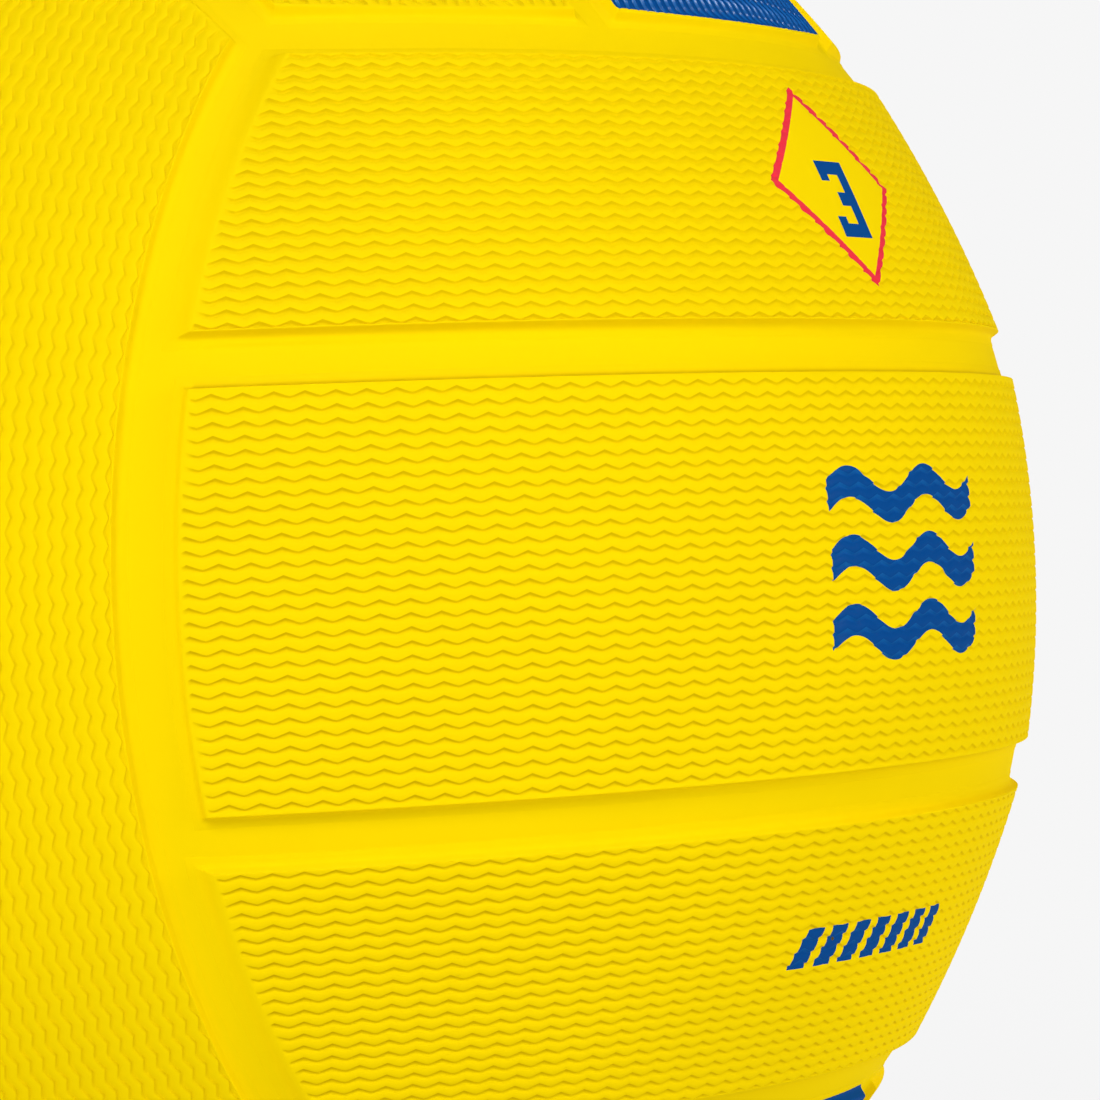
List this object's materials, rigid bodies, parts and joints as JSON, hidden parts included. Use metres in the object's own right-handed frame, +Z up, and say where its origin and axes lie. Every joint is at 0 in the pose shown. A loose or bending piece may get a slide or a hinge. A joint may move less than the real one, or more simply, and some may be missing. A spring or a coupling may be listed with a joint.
{
  "type": "water polo ball",
  "caption": "Yellow rubber water polo ball with raised zigzag-grip strips, smooth sunken channels between them and a recessed needle valve for inflation.",
  "frame": {"origin": "centre of the ball, which is the middle of its box", "axes": "+Z up; +X out of the right face, whose strips run level; +Y out of the back face along the valve; every face of three strips looks along an axis"},
  "size_m": [0.19, 0.19, 0.19],
  "materials": {
    "grip_yellow_rubber": "moulded zigzag grip, satin",
    "blue_printed_rubber": "yellow grip rubber under blue ink, satin",
    "smooth_yellow_rubber": "smooth satin",
    "nylon_filament": "wound filament",
    "butyl_rubber": "matte",
    "black_rubber": "matte",
    "valve_rubber": "satin"
  },
  "bodies": {
    "root": {"bladder": "butyl_rubber", "nylon_winding": "nylon_filament", "rubber_carcass": "smooth_yellow_rubber", "valve_housing": "black_rubber", "valve_core": "valve_rubber", "right_panel_lower": "grip_yellow_rubber", "right_panel_middle": "grip_yellow_rubber", "right_panel_upper": "grip_yellow_rubber", "left_panel_lower": "grip_yellow_rubber", "left_panel_middle": "grip_yellow_rubber", "left_panel_upper": "grip_yellow_rubber", "front_panel_left": "grip_yellow_rubber", "front_panel_middle": "grip_yellow_rubber", "front_panel_right": "grip_yellow_rubber", "back_panel_left": "grip_yellow_rubber", "back_panel_middle": "grip_yellow_rubber", "back_panel_right": "grip_yellow_rubber", "top_panel_front": "grip_yellow_rubber", "top_panel_middle": "blue_printed_rubber", "top_panel_back": "grip_yellow_rubber", "bottom_panel_front": "grip_yellow_rubber", "bottom_panel_middle": "blue_printed_rubber", "bottom_panel_back": "grip_yellow_rubber"}
  },
  "joints": []
}
